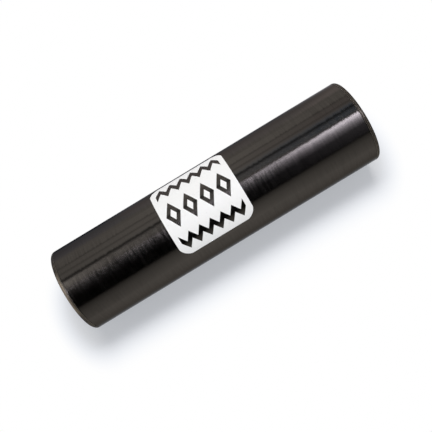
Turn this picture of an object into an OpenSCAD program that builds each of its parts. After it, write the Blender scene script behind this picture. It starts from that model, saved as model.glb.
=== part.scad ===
// Ganza shaker: a black aluminium tube, closed by a pressed cap at each end, with loose steel shot inside.
// The tube lies along X with its middle at the origin, +Z is up, and all lengths are in millimetres.

/* [Tube] */
// Outside diameter of the tube
tube_d = 50.8; // [46:0.1:64]
// Thickness of the tube's wall
tube_wall = 1.6; // [1:0.1:2.4]
// Length over both caps
overall_l = 190.5; // [160:0.5:300]
// Chamfer on the outer edge of the tube's ends, which shows as the seam beside each cap
tube_chamfer = 0.35; // [0.1:0.05:0.6]

/* [End caps] */
// Thickness of a cap's rim, which covers the end of the tube
rim_t = 2.4; // [1.8:0.1:4]
// Radius of the rim's rounded outer edge
rim_round = 2.2; // [0.5:0.1:3]
// Chamfer on the rim's inner edge, at the seam
rim_chamfer = 0.15; // [0.05:0.05:0.3]
// Width of the flat ring on a cap's face, outside its dish
face_ring_w = 3.5; // [2:0.1:6]
// Depth of the dish in a cap's face
dish_depth = 0.6; // [0.2:0.1:1]
// Width of the slope round the dish
dish_slope_w = 1.8; // [0.5:0.1:4]
// Length of the skirt that goes into the tube
skirt_l = 7; // [6:0.5:12]
// Thickness of the skirt
skirt_wall = 1.5; // [1.2:0.1:2.5]
// Gap between the skirt and the bore
skirt_fit = 0.05; // [0.02:0.01:0.1]
// Chamfer that leads the skirt into the bore
skirt_lead = 0.5; // [0.2:0.1:0.8]
// Distance from the tube's end to the groove for adhesive
groove_inset = 1.8; // [1:0.1:2]
// Width of the groove
groove_w = 2.6; // [1:0.1:2.8]
// Depth of the groove
groove_depth = 0.5; // [0.2:0.1:0.8]

/* [Steel shot] */
// Diameter of one ball
ball_d = 4.5; // [3:0.1:5.5]
// Gap between neighbouring balls, and between a ball and the bore
ball_gap = 0.15; // [0.1:0.01:0.3]
// Balls in each row of the bottom layer
bed_balls = 15; // [4:1:20]
// Balls in each row of the middle layer
surge_balls = 15; // [4:1:20]
// Balls in each row of the top layer
bounce_balls = 11; // [3:1:15]

/* [Printed mark] */
// Length of the print along the tube
mark_l = 46.5; // [36:0.5:60]
// Width of the print, measured round the tube
mark_w = 49.5; // [36:0.5:56]
// Thickness of the print
mark_t = 0.08; // [0.06:0.01:0.15]
// Radius of the print's corners
mark_corner = 8; // [2:0.5:12]
// Distance from the tube's middle to the print's middle, negative to the left
mark_x = -6; // [-20:1:20]
// Angle from the top of the tube round to the print's middle, towards +Y
mark_turn = 17.5; // [-60:0.5:60]
// Plain border round the figures
mark_border = 3; // [2:0.5:6]
// Thickness of the zigzag strokes
stroke_w = 2.6; // [1:0.1:3]
// Gap between two lozenges
lozenge_gap = 1.6; // [0.8:0.1:3]
// Lozenges in the middle row
lozenges = 4; // [2:1:5]
// Teeth in each zigzag
teeth = 6; // [3:1:8]

/* [Hidden] */
BED_ROWS = 6;
SURGE_ROWS = 3;
BOUNCE_ROWS = 2;
$fn = 96;
overrun = 1; // how far a cut reaches past the surface that it opens

tube_r = tube_d / 2;
bore_r = tube_r - tube_wall;
tube_l = overall_l - 2 * rim_t;

edge_r = min(rim_round, rim_t - rim_chamfer); // the rim's round can't be taller than the rim
dish_outer_r = tube_r - edge_r - face_ring_w;
plug_r = bore_r - skirt_fit;
skirt_in_r = plug_r - skirt_wall;
groove_r = plug_r - groove_depth;

ball_pitch = ball_d + ball_gap;
ball_fn = 32;
bed_r = bore_r - ball_gap - ball_d / 2; // from the tube's axis to the rows that lie on the bore
row_angle = 2 * asin(ball_pitch / 2 / bed_r); // between two neighbouring rows on the bore
// A row that rests in the valley between two others lies nearer the axis than they do.
surge_r = nested_r(bed_r, row_angle / 2);
bounce_r = nested_r(surge_r, row_angle);

figure_l = mark_l - 2 * mark_border;
lozenge_pitch = (figure_l + lozenge_gap) / lozenges;
corner_inset_share = 0.97; // from the print's edge to the middle of a corner's round, of the corner's radius
lozenge_w_share = 0.32; // of the print's width
lozenge_heart_share = 0.42; // of the lozenge
zigzag_place_share = 0.335; // from the print's middle to a zigzag's middle, of the print's width
zigzag_rise_share = 0.05; // from a zigzag's middle to its teeth, of the print's width

steel = [0.62, 0.62, 0.63];
black = [0.10, 0.098, 0.095];
white = [0.93, 0.93, 0.91];
amber = [0.55, 0.46, 0.30];

function nested_r(r, half_angle) =
  r * cos(half_angle) - sqrt(pow(ball_pitch, 2) - pow(r * sin(half_angle), 2));
function wrap(arc_l) = arc_l / tube_r * 180 / PI; // the angle that a length round the tube takes

// Turns a shape about Z into one about X, with its +Z end at +X.
module along_x() {
  rotate([0, 90, 0]) children();
}

// Places a cap's shape at one end: its own +Z points out of the tube, and its zero is the tube's end.
module at_end(side) {
  rotate([0, side * 90, 0]) translate([0, 0, tube_l / 2]) children();
}

// Places flat figures on the print, a length round the tube from its middle, with X along the tube.
module on_mark(arc_l) {
  rotate([-mark_turn - wrap(arc_l), 0, 0]) translate([mark_x, 0, tube_r / 2])
    linear_extrude(tube_r / 2 + mark_t + overrun) children();
}

module tube_body() {
  color(black) along_x() rotate_extrude() polygon([
    [bore_r, -tube_l / 2],
    [tube_r - tube_chamfer, -tube_l / 2],
    [tube_r, -tube_l / 2 + tube_chamfer],
    [tube_r, tube_l / 2 - tube_chamfer],
    [tube_r - tube_chamfer, tube_l / 2],
    [bore_r, tube_l / 2]
  ]);
}

// Half of a cap's section: radius, then distance out of the tube. The rim's outer corner is still square.
module cap_section() {
  polygon([
    [0, 0],
    [skirt_in_r, 0],
    [skirt_in_r, -skirt_l],
    [plug_r - skirt_lead, -skirt_l],
    [plug_r, -skirt_l + skirt_lead],
    [plug_r, -groove_inset - groove_w],
    [groove_r, -groove_inset - groove_w],
    [groove_r, -groove_inset],
    [plug_r, -groove_inset],
    [plug_r, 0],
    [tube_r - rim_chamfer, 0],
    [tube_r, rim_chamfer],
    [tube_r, rim_t],
    [dish_outer_r, rim_t],
    [dish_outer_r - dish_slope_w, rim_t - dish_depth],
    [0, rim_t - dish_depth]
  ]);
}

module end_cap(side) {
  color(black) at_end(side) rotate_extrude() difference() {
    cap_section();
    translate([tube_r - edge_r, rim_t - edge_r]) difference() {
      square(edge_r + overrun);
      circle(edge_r);
    }
  }
}

// The cured bead fills the groove out to the bore.
module cap_adhesive(side) {
  color(amber) at_end(side) rotate_extrude() translate([groove_r, -groove_inset - groove_w])
    square([bore_r - groove_r, groove_w]);
}

// One row of balls along the tube, at a distance from its axis and an angle from its bottom.
module shot_row(balls, r, angle, shift) {
  color(steel) rotate([angle, 0, 0]) translate([shift, 0, -r])
    for (i = [1:balls]) translate([(i - (balls + 1) / 2) * ball_pitch, 0, 0])
      sphere(d = ball_d, $fn = ball_fn);
}

module bed_row(i) {
  // Every other row lies a quarter of a ball further along, as balls settle beside each other.
  shot_row(bed_balls, bed_r, (i - (BED_ROWS + 1) / 2) * row_angle, (i % 2 - 1 / 2) * ball_pitch / 2);
}

module surge_row(i) {
  shot_row(surge_balls, surge_r, (i - (SURGE_ROWS + 1) / 2) * 2 * row_angle, 0);
}

module bounce_row(i) {
  shot_row(bounce_balls, bounce_r, (i - (BOUNCE_ROWS + 1) / 2) * 2 * row_angle, 0);
}

// A plain sheet wrapped round the tube, as long and as wide as the print.
module mark_sheet() {
  rotate([-mark_turn, 0, 0]) along_x() rotate([0, 0, 180 - wrap(mark_w) / 2])
    rotate_extrude(angle = wrap(mark_w)) translate([tube_r, mark_x - mark_l / 2]) square([mark_t, mark_l]);
}

// What is cut off to round one corner of the sheet. The round meets both edges at a slight angle.
module corner_waste(side_x, side_y) {
  reach = mark_corner + overrun;
  inset = mark_corner * corner_inset_share;
  on_mark(side_y * (mark_w / 2 - inset)) translate([side_x * (mark_l / 2 - inset), 0])
    difference() {
      translate([side_x * reach, side_y * reach]) square(2 * reach, center = true);
      circle(mark_corner);
    }
}

module lozenge() {
  half_l = (lozenge_pitch - lozenge_gap) / 2;
  half_w = mark_w * lozenge_w_share / 2;
  outline = [[half_l, 0], [0, half_w], [-half_l, 0], [0, -half_w]];
  difference() {
    polygon(outline);
    polygon(outline * lozenge_heart_share);
  }
}

module zigzag() {
  step = figure_l / teeth / 2;
  rise = mark_w * zigzag_rise_share;
  half_w = stroke_w / 2 / cos(atan(2 * rise / step));
  ridge = [for (k = [0:2 * teeth]) [k * step - figure_l / 2, k % 2 == 0 ? -rise : rise]];
  last = 2 * teeth;
  polygon(concat(
    [for (k = [0:last]) ridge[k] + [0, half_w]],
    [for (k = [0:last]) ridge[last - k] - [0, half_w]]
  ));
}

// The figures are left open, so that the black tube shows through the white print.
module printed_mark() {
  color(white) difference() {
    mark_sheet();
    for (side_x = [-1, 1], side_y = [-1, 1]) corner_waste(side_x, side_y);
    for (side_y = [-1, 1]) on_mark(side_y * mark_w * zigzag_place_share)
      mirror([0, side_y < 0 ? 1 : 0, 0]) zigzag();
    on_mark(0) for (i = [1:lozenges]) translate([(i - (lozenges + 1) / 2) * lozenge_pitch, 0]) lozenge();
  }
}

tube_body();
end_cap(-1);  // left_end_cap
end_cap(1);  // right_end_cap
cap_adhesive(-1);  // left_cap_adhesive
cap_adhesive(1);  // right_cap_adhesive
printed_mark();
for (i = [1:BED_ROWS]) bed_row(i);
for (i = [1:SURGE_ROWS]) surge_row(i);
for (i = [1:BOUNCE_ROWS]) bounce_row(i);
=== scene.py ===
"""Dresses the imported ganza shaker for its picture: finishes, floor, light and camera.

The frame has X along the tube, its middle at the origin and +Z up. Lengths are in metres.
"""

import math

import bpy
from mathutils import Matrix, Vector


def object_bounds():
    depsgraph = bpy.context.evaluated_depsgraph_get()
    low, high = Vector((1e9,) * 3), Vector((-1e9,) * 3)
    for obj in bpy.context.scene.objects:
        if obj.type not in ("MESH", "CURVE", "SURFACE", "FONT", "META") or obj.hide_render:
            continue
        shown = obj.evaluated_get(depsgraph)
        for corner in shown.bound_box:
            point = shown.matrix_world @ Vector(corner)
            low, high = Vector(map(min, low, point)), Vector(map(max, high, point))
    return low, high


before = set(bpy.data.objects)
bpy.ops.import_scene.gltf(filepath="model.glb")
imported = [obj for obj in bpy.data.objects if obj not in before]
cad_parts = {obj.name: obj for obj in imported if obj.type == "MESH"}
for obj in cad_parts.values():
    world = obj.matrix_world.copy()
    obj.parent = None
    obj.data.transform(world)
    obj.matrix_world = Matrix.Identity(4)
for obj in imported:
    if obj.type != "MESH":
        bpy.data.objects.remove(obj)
cad_box = [list(corner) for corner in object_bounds()]

# The camera, worked out from the outline of the tube in the photograph, which is square. Its pixels are
# counted from 0 at the upper left.
IMAGE_SIDE_PX = 432
FOCAL_PX = 650
SENSOR = 36.0  # mm, Blender's own
CAMERA_HEIGHT = 0.3764  # above the tube's axis
TUBE_MIDDLE_PX = (214.8, 205.0)
TUBE_TURN = 31.2  # degrees, from the picture's horizontal up to the tube's right end

TUBE_R = -cad_box[0][2]
HALF_LENGTH = cad_box[1][0]
FLOOR_SIDE = 6.0
SHADOW_MIDDLE = (-0.0048, -0.020)  # where the tube's shadow is darkest
SHADOW_END_FADE = 1.47  # how much faster the shadow fades past its ends than beside them
SHADOW_REACH = (0.014, 0.040)  # away from there, the floor's own light goes over into white between these
WHITE = (1.0, 1.0, 1.0)

# The key lamp stands towards +Y and a little towards +X, and gives the floor its shadow. The fill stands
# towards -Y. A level is a share of plain white, on a surface that faces the lamp from the tube.
LAMP_DISTANCE = 0.50
KEY_FROM_ZENITH = 28.0
KEY_TOWARDS_X = 6.5
KEY_SIZE = (0.25, 0.14)
KEY_COLOUR = (1.0, 0.985, 0.965)
KEY_LEVEL = 0.72
FILL_FROM_ZENITH = -50.0
FILL_SIZE = (0.40, 0.30)
FILL_COLOUR = (0.97, 0.985, 1.01)
FILL_LEVEL = 0.30
AMBIENT_LEVEL = 0.25


class Tree:
    """Short calls for making and linking a node tree."""

    def __init__(self, owner):
        owner.use_nodes = True
        self.nodes = owner.node_tree.nodes
        self.links = owner.node_tree.links
        self.nodes.clear()

    def put(self, value, socket):
        """Links an output to a socket, or sets the socket's own value."""
        if isinstance(value, bpy.types.NodeSocket):
            self.links.new(value, socket)
        elif value is not None:
            socket.default_value = value

    def node(self, kind, settings=None, **inputs):
        """A new node. Inputs are named with _ for a space, or by their place, as in_0."""
        made = self.nodes.new(kind)
        for name, value in (settings or {}).items():
            setattr(made, name, value)
        for name, value in inputs.items():
            key = int(name[3:]) if name.startswith("in_") else name.replace("_", " ")
            self.put(value, made.inputs[key])
        return made

    def math(self, operation, *values):
        """A sum on numbers or outputs."""
        made = self.nodes.new("ShaderNodeMath")
        made.operation = operation
        for socket, value in zip(made.inputs, values):
            self.put(value, socket)
        return made.outputs[0]

    def ramp(self, factor, stops, interpolation="LINEAR"):
        """A colour ramp. stops holds (place, grey or colour)."""
        made = self.nodes.new("ShaderNodeValToRGB")
        made.color_ramp.interpolation = interpolation
        elements = made.color_ramp.elements
        while len(elements) < len(stops):
            elements.new(1.0)
        for element, (place, colour) in zip(elements, stops):
            element.position = place
            element.color = (*((colour,) * 3 if isinstance(colour, (int, float)) else colour), 1)
        self.put(factor, made.inputs[0])
        return made.outputs[0]

    def smooth(self, value, low, high, to_low=0.0, to_high=1.0):
        """Goes softly from to_low to to_high while the value goes from low to high, and no further."""
        made = self.nodes.new("ShaderNodeMapRange")
        made.interpolation_type = "SMOOTHSTEP"
        for socket, number in zip(made.inputs, (value, low, high, to_low, to_high)):
            self.put(number, socket)
        return made.outputs[0]

    def mix(self, factor, a, b, blend="MIX"):
        """Mixes two colours. The factor is the second one's share."""
        made = self.nodes.new("ShaderNodeMix")
        made.data_type, made.blend_type = "RGBA", blend
        self.put(factor, made.inputs[0])
        for socket, value in zip(made.inputs[6:8], (a, b)):
            self.put((*value, 1) if isinstance(value, tuple) and len(value) == 3 else value, socket)
        return made.outputs[2]


def make_camera():
    """Looks straight down on the tube. The shift places the tube's middle where the photograph has it."""
    data = bpy.data.cameras.new("camera")
    data.sensor_width = SENSOR
    data.lens = FOCAL_PX / IMAGE_SIDE_PX * SENSOR
    middle = (IMAGE_SIDE_PX - 1) / 2
    data.shift_x = (middle - TUBE_MIDDLE_PX[0]) / IMAGE_SIDE_PX
    data.shift_y = (TUBE_MIDDLE_PX[1] - middle) / IMAGE_SIDE_PX
    camera = bpy.data.objects.new("camera", data)
    camera.location = (0, 0, CAMERA_HEIGHT)
    camera.rotation_euler = (0, 0, -math.radians(TUBE_TURN))
    bpy.context.scene.collection.objects.link(camera)
    bpy.context.scene.camera = camera


DEGREES = 180 / math.pi  # in a radian
HALF_TURN = 180.0
FULL_TURN = 360.0

# Directions in degrees from the zenith: across the tube they are negative towards +Y, along it towards -X.
# A table of ACROSS or ALONG holds (direction, level).
TENT_ACROSS = (
    (-180, 1.0),
    (-36, 1.0),
    (-33, 0.70),
    (-22, 0.70),
    (-17, 0.42),
    (-11, 0.17),
    (-5.5, 0.05),
    (0, 0.015),
    (8, 0.003),
    (41, 0.003),
    (48, 0.33),
    (60, 0.58),
    (90, 0.88),
    (180, 1.0),
)
TENT_ALONG = ((-16, 0.86), (-10, 0.90), (-5, 1.30), (0, 1.50), (5, 1.25), (10, 0.97), (16, 0.98))
TENT_SEAMS = ((-71.0, 4.0, 0.40), (-54.5, 4.0, 0.35), (-37.5, 6.5, 0.80))  # direction, half width and depth
# One side of the tent is dimmer. Each pair holds the directions between which that begins or ends.
SIDE_FAR_END = (-80.0, -64.0)
SIDE_NEAR_END = (-26.0, -16.0)
SIDE_ALONG = (-2.0, 15.0)
SIDE_FAR_COLOUR = (0.76, 0.72, 0.74)  # times the tent's own
SIDE_NEAR_COLOUR = (0.50, 0.70, 1.02)
SIDE_COLOUR_TURNS = (-54.0, -40.0)
SIDE_SEAM = (-38.0, 8.0, 0.45)  # a seam that only the dimmer side has
TENT_CLOSES = (42.0, 60.0)  # along the tube, towards either end
CLOSED_LEVEL = 1.3

STRIP_ACROSS = (
    (-18.5, 0.0),
    (-15, 1.0),
    (-11, 0.94),
    (-8, 0.71),
    (-2, 0.35),
    (6, 0.135),
    (16, 0.03),
    (40, 0.014),
    (44, 0.0),
)
STRIP_ALONG = ((3, 0.0), (11, 0.16), (20, 0.95), (25, 0.90), (30, 0.0))
STRIP_COLOUR = (29.0, 29.6, 36.2)

SIDE_LAMP_ACROSS = (
    (-35, 0.0),
    (-32, 1.0),
    (-24, 0.98),
    (-17, 0.58),
    (-11, 0.34),
    (-5.5, 0.18),
    (0, 0.085),
    (5.5, 0.045),
    (11, 0.02),
    (17, 0.006),
    (24, 0.0),
)
SIDE_LAMP_ALONG = ((-40, 0.0), (-30, 1.0), (-24, 1.0), (-17, 0.0))
SIDE_LAMP_COLOUR = (6.0, 6.05, 6.2)


def over_angle(t, angle, stops, interpolation="LINEAR"):
    """A level that depends on an angle from -180 to 180 degrees. stops holds (angle, level)."""
    turn = t.math("DIVIDE", t.math("ADD", angle, HALF_TURN), FULL_TURN)
    return t.ramp(turn, [((stop + HALF_TURN) / FULL_TURN, level) for stop, level in stops], interpolation)


def seam_shade(t, across, direction, half_width, depth):
    """1 outside a seam, and less by its depth in its middle."""
    away = t.math("ABSOLUTE", t.math("SUBTRACT", across, direction))
    return t.smooth(away, 0.0, half_width, 1.0 - depth, 1.0)


def make_tent(t, across, along):
    """The pale tent, with its seams, its dimmer side and the dark gap in which the camera stands."""
    tent = over_angle(t, across, TENT_ACROSS)
    for seam in TENT_SEAMS:
        tent = t.mix(1.0, tent, seam_shade(t, across, *seam), "MULTIPLY")
    tent = t.mix(1.0, tent, over_angle(t, along, TENT_ALONG), "MULTIPLY")
    side = t.math("MULTIPLY", t.smooth(across, *SIDE_FAR_END), t.smooth(across, *SIDE_NEAR_END, 1.0, 0.0))
    side = t.math("MULTIPLY", side, t.smooth(along, *SIDE_ALONG))
    colour = t.mix(t.smooth(across, *SIDE_COLOUR_TURNS), SIDE_FAR_COLOUR, SIDE_NEAR_COLOUR)
    tent = t.mix(side, tent, t.mix(1.0, tent, colour, "MULTIPLY"))
    tent = t.mix(side, tent, t.mix(1.0, tent, seam_shade(t, across, *SIDE_SEAM), "MULTIPLY"))
    closed = t.smooth(t.math("ABSOLUTE", along), *TENT_CLOSES)
    return t.mix(closed, tent, (CLOSED_LEVEL,) * 3)


def make_lit_patch(t, across, along, across_stops, along_stops, colour):
    """A soft lamp in the tent, as reflections show it."""
    level_across = over_angle(t, across, across_stops)
    level_along = over_angle(t, along, along_stops, "EASE")
    return t.mix(1.0, colour, t.math("MULTIPLY", level_across, level_along), "MULTIPLY")


def make_world():
    """Surroundings of a pale tent with two lamps beside the camera. Only reflections show them.

    The camera sees plain white round the floor, and matt surfaces get an even light.
    """
    world = bpy.data.worlds.new("studio")
    bpy.context.scene.world = world
    world.cycles.sampling_method = "NONE"
    t = Tree(world)
    direction = t.node("ShaderNodeTexCoord").outputs["Generated"]
    parts = t.node("ShaderNodeSeparateXYZ", in_0=direction).outputs
    across = t.math("ARCTAN2", t.math("MULTIPLY", parts["Y"], -1.0), parts["Z"])
    across = t.math("MULTIPLY", across, DEGREES)
    along = t.math("MULTIPLY", t.math("ARCSINE", parts["X"]), DEGREES)
    pattern = make_tent(t, across, along)
    strip = STRIP_ACROSS, STRIP_ALONG, STRIP_COLOUR
    side_lamp = SIDE_LAMP_ACROSS, SIDE_LAMP_ALONG, SIDE_LAMP_COLOUR
    for lamp in (strip, side_lamp):
        pattern = t.mix(1.0, pattern, make_lit_patch(t, across, along, *lamp), "ADD")

    path = t.node("ShaderNodeLightPath").outputs
    shown = t.math("MAXIMUM", path["Is Glossy Ray"], path["Is Transmission Ray"])
    ambient = t.node("ShaderNodeBackground", Color=(*WHITE, 1), Strength=AMBIENT_LEVEL).outputs[0]
    tented = t.node("ShaderNodeBackground", Color=pattern, Strength=1.0).outputs[0]
    plain = t.node("ShaderNodeBackground", Color=(*WHITE, 1), Strength=1.0).outputs[0]
    lit = t.node("ShaderNodeMixShader", in_0=shown, in_1=ambient, in_2=tented).outputs[0]
    seen = t.node("ShaderNodeMixShader", in_0=path["Is Camera Ray"], in_1=lit, in_2=plain).outputs[0]
    t.node("ShaderNodeOutputWorld", Surface=seen)


FLOOR_COLOUR = 0.95
FLOOR_OWN_WHITE = 0.22  # how much of the floor's look is plain white, which lightens its shadow
FLOOR_SHADE_TINT = (0.91, 0.97, 1.08)  # a painted blue tint of that white, where the shadow is
# The floor beyond the tube, as the tube's far edge reflects it, with painted shade and light: dark close to
# the tube as painted contact shade, and darker or brighter along X as painted reflection. Its colour at
# places along X, close to the tube and further off, and the distances along Y between which each goes over
# into the next, and the last into white.
BEYOND_CLOSE_PAINTED_SHADE = (
    (-0.065, (0.02, 0.02, 0.03)),
    (-0.05, (0.22, 0.22, 0.25)),
    (0.06, (0.26, 0.25, 0.28)),
    (0.12, (1.20, 1.16, 1.22)),
)
BEYOND_FURTHER_PAINTED_LIGHT = (
    (-0.10, (0.75, 0.77, 0.92)),
    (-0.065, (0.86, 0.92, 1.06)),
    (-0.05, (1.10, 1.07, 1.18)),
    (0.085, (1.18, 1.16, 1.24)),
    (0.11, (1.68, 1.58, 1.66)),
)
BEYOND_REACH = 0.15  # the places along X lie within this, either way
BEYOND_STARTS = (0.0, 0.02)  # white goes over into the first colour between these
BEYOND_CLOSE_ENDS = (0.035, 0.060)
BEYOND_ENDS = (0.07, 0.30)


def along_x(t, x, stops):
    """A colour that depends on the place along X. stops holds (place, colour)."""
    place = t.math("DIVIDE", t.math("ADD", x, BEYOND_REACH), 2 * BEYOND_REACH)
    return t.ramp(place, [((stop / BEYOND_REACH + 1) / 2, colour) for stop, colour in stops])


def painted_floor_reflection(t, x, y):
    """The painted shade and light of the floor beyond the tube, which only reflections show."""
    close, further = along_x(t, x, BEYOND_CLOSE_PAINTED_SHADE), along_x(t, x, BEYOND_FURTHER_PAINTED_LIGHT)
    colour = t.mix(t.smooth(y, *BEYOND_CLOSE_ENDS), close, further)
    colour = t.mix(t.smooth(y, *BEYOND_ENDS), colour, WHITE)
    return t.mix(t.smooth(y, *BEYOND_STARTS), WHITE, colour)


def make_floor():
    """A pale sheet under the tube. Far from the tube it goes over into plain white, like the world."""
    half = FLOOR_SIDE / 2
    mesh = bpy.data.meshes.new("floor")
    corners = [(x * half, y * half, -TUBE_R) for x, y in ((-1, -1), (1, -1), (1, 1), (-1, 1))]
    mesh.from_pydata(corners, [], [(0, 1, 2, 3)])
    floor = bpy.data.objects.new("floor", mesh)
    bpy.context.scene.collection.objects.link(floor)
    material = bpy.data.materials.new("floor")
    mesh.materials.append(material)
    t = Tree(material)
    place = t.node("ShaderNodeTexCoord").outputs["Object"]
    parts = t.node("ShaderNodeSeparateXYZ", in_0=place).outputs
    from_middle = t.math("ABSOLUTE", t.math("SUBTRACT", parts["X"], SHADOW_MIDDLE[0]))
    past_end = t.math("MAXIMUM", t.math("SUBTRACT", from_middle, HALF_LENGTH), 0.0)
    past_end = t.math("MULTIPLY", past_end, SHADOW_END_FADE)
    aside = t.math("SUBTRACT", parts["Y"], SHADOW_MIDDLE[1])
    squares = t.math("ADD", t.math("POWER", past_end, 2.0), t.math("MULTIPLY", aside, aside))
    distance = t.math("SQRT", squares)
    far = t.smooth(distance, *SHADOW_REACH)
    white = t.math("ADD", t.math("MULTIPLY", far, 1.0 - FLOOR_OWN_WHITE), FLOOR_OWN_WHITE)
    path = t.node("ShaderNodeLightPath").outputs
    shown = t.math("MAXIMUM", path["Is Camera Ray"], path["Is Glossy Ray"])
    shown = t.math("MAXIMUM", shown, path["Is Transmission Ray"])
    matt = t.node("ShaderNodeBsdfDiffuse", Color=(FLOOR_COLOUR,) * 3 + (1,)).outputs[0]
    # painted blue tint of the glow in the tube's shadow, going over into white away from it
    tint = t.mix(far, FLOOR_SHADE_TINT, WHITE)
    # glossy rays see the floor with painted contact shade close to the tube and painted light further off
    painted_reflection = t.mix(1.0, tint, painted_floor_reflection(t, parts["X"], parts["Y"]), "MULTIPLY")
    glow_colour = t.mix(path["Is Glossy Ray"], tint, painted_reflection)
    glow = t.node("ShaderNodeEmission", Color=glow_colour, Strength=1.0).outputs[0]
    share = t.math("MULTIPLY", shown, white)
    look = t.node("ShaderNodeMixShader", in_0=share, in_1=matt, in_2=glow).outputs[0]
    t.node("ShaderNodeOutputMaterial", Surface=look)


def make_lamp(name, from_zenith, towards_x, size, colour, level):
    """A soft lamp that reflections don't show, because the world shows them its own."""
    data = bpy.data.lights.new(name, "AREA")
    data.shape = "RECTANGLE"
    data.size, data.size_y = size
    data.color = colour
    # A lamp of this power gives a facing surface at this distance a plain level of 1.
    data.energy = level * math.pi ** 2 * LAMP_DISTANCE ** 2
    lamp = bpy.data.objects.new(name, data)
    zenith, lean = math.radians(from_zenith), math.radians(towards_x)
    lamp.location = (
        LAMP_DISTANCE * math.sin(lean),
        LAMP_DISTANCE * math.sin(zenith) * math.cos(lean),
        LAMP_DISTANCE * math.cos(zenith) * math.cos(lean),
    )
    lamp.rotation_mode = "QUATERNION"
    lamp.rotation_quaternion = (-lamp.location).to_track_quat("-Z", "Y")
    lamp.visible_glossy = False
    lamp.visible_camera = False
    bpy.context.scene.collection.objects.link(lamp)


def new_material(name):
    """A new material and its tree."""
    material = bpy.data.materials.new(name)
    return material, Tree(material)


def principled(t, **inputs):
    """Ends a material's tree with one Principled shader. A colour may be given as three numbers."""
    for name, value in inputs.items():
        if isinstance(value, tuple) and len(value) == 3:
            inputs[name] = (*value, 1)
    shader = t.node("ShaderNodeBsdfPrincipled", **inputs).outputs[0]
    t.node("ShaderNodeOutputMaterial", Surface=shader)


def noise(t, place, scale, detail=2.0, roughness=0.5):
    """Noise with its own scale along each axis, in waves per metre."""
    stretched = t.node("ShaderNodeMapping", in_0=place, Scale=scale).outputs[0]
    made = t.node("ShaderNodeTexNoise", in_0=stretched, Scale=1.0, Detail=detail, Roughness=roughness)
    return made.outputs[0]


def cells(t, place, scale):
    """How far a place lies from the middle of its Voronoi cell. scale is in cells per metre."""
    return t.node("ShaderNodeTexVoronoi", in_0=place, Scale=scale).outputs["Distance"]


def bump(t, height, strength, depth):
    """The normal of a surface that a height from 0 to 1 raises by up to this depth, in metres."""
    return t.node("ShaderNodeBump", Strength=strength, Distance=depth, Height=height).outputs[0]


def round_the_tube(t):
    """The direction that the brushing and the turning follow."""
    return t.node("ShaderNodeTangent", {"direction_type": "RADIAL", "axis": "X"}).outputs[0]


def leaning_normal(t, tangent, lines, lean):
    """The normal, turned a little round the tube by each brush line.

    lean is in radians, for a line of strength 1. A negative lean turns it the other way.
    """
    normal = t.node("ShaderNodeNewGeometry").outputs["Normal"]
    turn = t.math("MULTIPLY", t.math("SUBTRACT", lines, NOISE_MIDDLE), lean)
    shift = t.node("ShaderNodeVectorMath", {"operation": "SCALE"}, in_0=tangent, Scale=turn).outputs[0]
    leaning = t.node("ShaderNodeVectorMath", {"operation": "ADD"}, in_0=normal, in_1=shift).outputs[0]
    return t.node("ShaderNodeVectorMath", {"operation": "NORMALIZE"}, in_0=leaning).outputs[0]


def distance_from_face(t, parts):
    """How far a place lies in from the nearer end face."""
    return t.math("SUBTRACT", HALF_LENGTH, t.math("ABSOLUTE", parts["X"]))


NOISE_MIDDLE = 0.5
NOISE_RANGE = (0.3, 0.7)  # nearly all of a noise's values lie between these
QUARTER_TURN = 0.25  # turns the stretched reflections across the lines
EDGE_REFLECTANCE = (0.46, 0.46, 0.46)  # keeps the black dark where it is seen at a slant

# The seam between a cap and the tube. Both have lost their black on its chamfers, and have none past them.
CUT_METAL = (0.20, 0.18, 0.155)
SEAM_FROM_FACE = 0.0024
TUBE_CHAMFER = 0.00035
CAP_CHAMFER = 0.00015
CHAMFER_FULL_SHARE = 0.8  # of a chamfer's width: the metal is bare from here to the seam

BLACK_DEEP = (0.051, 0.0455, 0.040)
BLACK_LIGHT = (0.059, 0.0525, 0.046)
BRUSH_LINES = (2300.0, 90.0, 90.0)  # waves per metre: lines under half a millimetre wide, a centimetre long
BRUSH_DETAIL = 1.0
BRUSH_LEAN = -0.075
BRUSH_ANISOTROPY = 1.0
BRUSH_ROUGHNESS = (0.115, 0.19)
HANDLING = 55.0  # waves per metre of the faint patches that hands leave
HANDLING_DETAIL = 3.0
HANDLING_RANGE = (0.45, 0.75)  # the values of its noise between which a patch goes from none to whole
HANDLING_ROUGHNESS = (0.0, 0.03)  # added


def tube_finish():
    """Black anodised aluminium, brushed round the tube, and bare at its ends from their chamfers on."""
    material, t = new_material("brushed_black_aluminium")
    place = t.node("ShaderNodeTexCoord").outputs["Object"]
    parts = t.node("ShaderNodeSeparateXYZ", in_0=place).outputs
    lines = noise(t, place, BRUSH_LINES, BRUSH_DETAIL)
    patches = noise(t, place, (HANDLING,) * 3, HANDLING_DETAIL)
    black = t.mix(t.smooth(lines, *NOISE_RANGE), BLACK_DEEP, BLACK_LIGHT)
    chamfer_starts = SEAM_FROM_FACE + TUBE_CHAMFER
    chamfer_full = SEAM_FROM_FACE + TUBE_CHAMFER * CHAMFER_FULL_SHARE
    on_chamfer = t.smooth(distance_from_face(t, parts), chamfer_starts, chamfer_full)
    rough = t.smooth(lines, *NOISE_RANGE, *BRUSH_ROUGHNESS)
    tangent = round_the_tube(t)
    principled(
        t,
        Base_Color=t.mix(on_chamfer, black, CUT_METAL),
        Metallic=1.0,
        Roughness=t.math("ADD", rough, t.smooth(patches, *HANDLING_RANGE, *HANDLING_ROUGHNESS)),
        Anisotropic=BRUSH_ANISOTROPY,
        Anisotropic_Rotation=QUARTER_TURN,
        Specular_Tint=EDGE_REFLECTANCE,
        Tangent=tangent,
        Normal=leaning_normal(t, tangent, lines, BRUSH_LEAN),
    )
    return material


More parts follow.
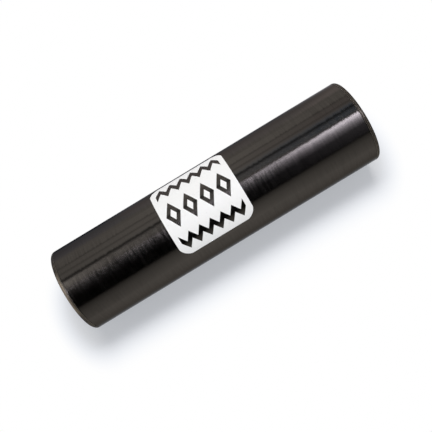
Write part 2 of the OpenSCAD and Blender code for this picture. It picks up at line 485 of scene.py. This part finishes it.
RIM_DEEP = (0.030, 0.027, 0.0235)
RIM_LIGHT = (0.044, 0.040, 0.035)
FACE_DEEP = (0.044, 0.0395, 0.035)
FACE_LIGHT = (0.068, 0.0615, 0.055)
RIM_WIDTH = (0.0022, 0.0032)  # in from the tube's outside, the rim's finish goes over into the face's
TURNED_LINES = 1400.0  # waves per metre
TURNED_ANISOTROPY = 0.8
TURNED_ROUGHNESS = (0.36, 0.48)
CAP_PATCHES = 260.0  # waves per metre
CAP_PATCHES_DETAIL = 3.0
DULL_RANGE = (0.4, 0.7)
DULL_ROUGHNESS = (0.0, 0.06)  # added
BARE_METAL = (0.32, 0.265, 0.20)
WORN_LINE_FROM_FACE = 0.0015  # the rim's crown, where its black has worn
WORN_LINE_HALF_WIDTH = 0.00060
WORN_RANGE = (0.35, 0.62)
WORN_SHARES = (0.1, 0.30)  # how bare the crown is, least and most
# A patch on top of the left rim that takes the pale bare-metal colour. Each pair holds where it starts and
# where it is whole.
LEFT_PATCH_FROM_FACE = (0.0026, 0.0014)
LEFT_PATCH_X = (0.0, -0.001)
LEFT_PATCH_Z = (0.0200, 0.0235)
LEFT_PATCH_SHARE = 0.60


def left_patch(t, parts, from_face):
    """How much of the bare-metal colour the patch on top of the left rim takes, 0 outside it."""
    across = t.smooth(from_face, *LEFT_PATCH_FROM_FACE, 0.0, LEFT_PATCH_SHARE)
    on_left = t.smooth(parts["X"], *LEFT_PATCH_X)
    return t.math("MULTIPLY", t.math("MULTIPLY", across, on_left), t.smooth(parts["Z"], *LEFT_PATCH_Z))


def cap_finish():
    """Black turned metal, worn along the rims' crowns and paler in a patch on top of the left rim, and bare
    from the chamfer at the seam on.

    Its lines go round the axis on the rim and on the face.
    """
    material, t = new_material("turned_black_cap")
    place = t.node("ShaderNodeTexCoord").outputs["Object"]
    parts = t.node("ShaderNodeSeparateXYZ", in_0=place).outputs
    squares = t.math("ADD", t.math("POWER", parts["Y"], 2.0), t.math("POWER", parts["Z"], 2.0))
    radius = t.math("SQRT", squares)
    section = t.node("ShaderNodeCombineXYZ", X=parts["X"], Y=radius).outputs[0]
    lines = noise(t, section, (TURNED_LINES,) * 3)
    patches = noise(t, place, (CAP_PATCHES,) * 3, CAP_PATCHES_DETAIL)
    on_rim = t.smooth(radius, TUBE_R - RIM_WIDTH[1], TUBE_R - RIM_WIDTH[0])
    strength = t.smooth(lines, *NOISE_RANGE)
    black = t.mix(on_rim, t.mix(strength, FACE_DEEP, FACE_LIGHT), t.mix(strength, RIM_DEEP, RIM_LIGHT))

    from_face = distance_from_face(t, parts)
    from_crown = t.math("ABSOLUTE", t.math("SUBTRACT", from_face, WORN_LINE_FROM_FACE))
    on_crown = t.smooth(from_crown, WORN_LINE_HALF_WIDTH, 0.0)
    crown_worn = t.math("MULTIPLY", on_crown, t.smooth(patches, *WORN_RANGE, *WORN_SHARES))
    # the crown's wear, and the paler patch on top of the left rim, which takes the same bare-metal colour
    worn = t.math("MULTIPLY", t.math("MAXIMUM", crown_worn, left_patch(t, parts, from_face)), on_rim)
    chamfer_starts = SEAM_FROM_FACE - CAP_CHAMFER
    chamfer_full = SEAM_FROM_FACE - CAP_CHAMFER * CHAMFER_FULL_SHARE
    on_chamfer = t.smooth(from_face, chamfer_starts, chamfer_full)
    rough = t.smooth(lines, *NOISE_RANGE, *TURNED_ROUGHNESS)
    principled(
        t,
        Base_Color=t.mix(on_chamfer, t.mix(worn, black, BARE_METAL), CUT_METAL),
        Metallic=1.0,
        Roughness=t.math("ADD", rough, t.smooth(patches, *DULL_RANGE, *DULL_ROUGHNESS)),
        Anisotropic=TURNED_ANISOTROPY,
        Anisotropic_Rotation=QUARTER_TURN,
        Specular_Tint=EDGE_REFLECTANCE,
        Tangent=round_the_tube(t),
    )
    return material


INK_WHITE = (0.88, 0.885, 0.89)
INK_THIN = (0.74, 0.745, 0.75)
INK_PATCHES = 420.0  # waves per metre
INK_PATCHES_DETAIL = 4.0
INK_PATCHES_ROUGHNESS = 0.65
INK_THIN_RANGE = (0.60, 0.78)
INK_BRUSH_SHARE = 0.6  # of the ink's grain, the rest is its patches
INK_PATCHES_SHARE = 0.4
INK_GRAIN_RANGE = (0.35, 0.65)
INK_ROUGHNESS = (0.38, 0.50)
INK_BUMP_STRENGTH = 0.35
INK_BUMP_DEPTH = 0.00002


def ink_finish():
    """White screen ink: even, a little thinner here and there, with the brushing faintly under it."""
    material, t = new_material("white_ink")
    place = t.node("ShaderNodeTexCoord").outputs["Object"]
    lines = noise(t, place, BRUSH_LINES)
    patches = noise(t, place, (INK_PATCHES,) * 3, INK_PATCHES_DETAIL, INK_PATCHES_ROUGHNESS)
    brushed = t.math("MULTIPLY", lines, INK_BRUSH_SHARE)
    grain = t.math("ADD", brushed, t.math("MULTIPLY", patches, INK_PATCHES_SHARE))
    principled(
        t,
        Base_Color=t.mix(t.smooth(patches, *INK_THIN_RANGE), INK_WHITE, INK_THIN),
        Roughness=t.smooth(grain, *INK_GRAIN_RANGE, *INK_ROUGHNESS),
        Normal=bump(t, grain, INK_BUMP_STRENGTH, INK_BUMP_DEPTH),
    )
    return material


AMBER_DEEP = (0.34, 0.20, 0.07)
AMBER_LIGHT = (0.52, 0.36, 0.15)
AMBER_CLOUDS = 180.0  # waves per metre
AMBER_CLOUDS_DETAIL = 3.0
AMBER_RANGE = (0.35, 0.65)
AMBER_ROUGHNESS = (0.22, 0.38)
AMBER_IOR = 1.5
BUBBLE_CELLS = 1600.0  # a metre
BUBBLE_EDGE = (0.28, 0.12)  # from a cell's middle: a bubble starts here, and is whole within here
BUBBLE_COLOUR = (0.70, 0.60, 0.40)
BUBBLE_SHARE = 0.4
BUBBLE_BUMP_STRENGTH = 0.5
BUBBLE_BUMP_DEPTH = 0.0001


def adhesive_finish():
    """A cured amber bead with small bubbles."""
    material, t = new_material("cured_adhesive")
    place = t.node("ShaderNodeTexCoord").outputs["Object"]
    cloudy = noise(t, place, (AMBER_CLOUDS,) * 3, AMBER_CLOUDS_DETAIL)
    bubbles = t.smooth(cells(t, place, BUBBLE_CELLS), *BUBBLE_EDGE)
    amber = t.mix(t.smooth(cloudy, *AMBER_RANGE), AMBER_DEEP, AMBER_LIGHT)
    principled(
        t,
        Base_Color=t.mix(t.math("MULTIPLY", bubbles, BUBBLE_SHARE), amber, BUBBLE_COLOUR),
        Roughness=t.smooth(cloudy, *NOISE_RANGE, *AMBER_ROUGHNESS),
        IOR=AMBER_IOR,
        Normal=bump(t, bubbles, BUBBLE_BUMP_STRENGTH, BUBBLE_BUMP_DEPTH),
    )
    return material


STEEL_BRIGHT = (0.66, 0.655, 0.64)
STEEL_DULL = (0.46, 0.455, 0.45)
SCUFFS = 900.0  # waves per metre
SCUFFS_DETAIL = 4.0
SCUFFS_ROUGHNESS = 0.6
DULL_STEEL_RANGE = (0.4, 0.7)
ROUGH_STEEL_RANGE = (0.35, 0.7)
STEEL_ROUGHNESS = (0.14, 0.32)
PIT_CELLS = 2200.0  # a metre
PIT_EDGE = (0.0, 0.3)  # from a cell's middle: a pit is deepest here, and ends here
PIT_BUMP_STRENGTH = 0.25
PIT_BUMP_DEPTH = 0.00003


def shot_finish():
    """Polished steel shot, dulled by knocking together."""
    material, t = new_material("polished_steel_shot")
    place = t.node("ShaderNodeTexCoord").outputs["Object"]
    scuffs = noise(t, place, (SCUFFS,) * 3, SCUFFS_DETAIL, SCUFFS_ROUGHNESS)
    height = t.smooth(cells(t, place, PIT_CELLS), *PIT_EDGE)
    principled(
        t,
        Base_Color=t.mix(t.smooth(scuffs, *DULL_STEEL_RANGE), STEEL_BRIGHT, STEEL_DULL),
        Metallic=1.0,
        Roughness=t.smooth(scuffs, *ROUGH_STEEL_RANGE, *STEEL_ROUGHNESS),
        Normal=bump(t, height, PIT_BUMP_STRENGTH, PIT_BUMP_DEPTH),
    )
    return material


def dress(material, *starts):
    """Gives a material to every node whose name starts in one of these ways."""
    for name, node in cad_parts.items():
        if name.startswith(starts):
            for slot in node.material_slots:
                slot.material = material


bpy.context.scene.view_settings.view_transform = "Standard"
make_camera()
make_world()
make_floor()
make_lamp("key", KEY_FROM_ZENITH, KEY_TOWARDS_X, KEY_SIZE, KEY_COLOUR, KEY_LEVEL)
make_lamp("fill", FILL_FROM_ZENITH, 0.0, FILL_SIZE, FILL_COLOUR, FILL_LEVEL)
dress(tube_finish(), "tube_body")
dress(cap_finish(), "left_end_cap", "right_end_cap")
dress(ink_finish(), "printed_mark")
dress(adhesive_finish(), "left_cap_adhesive", "right_cap_adhesive")
dress(shot_finish(), "shot_")
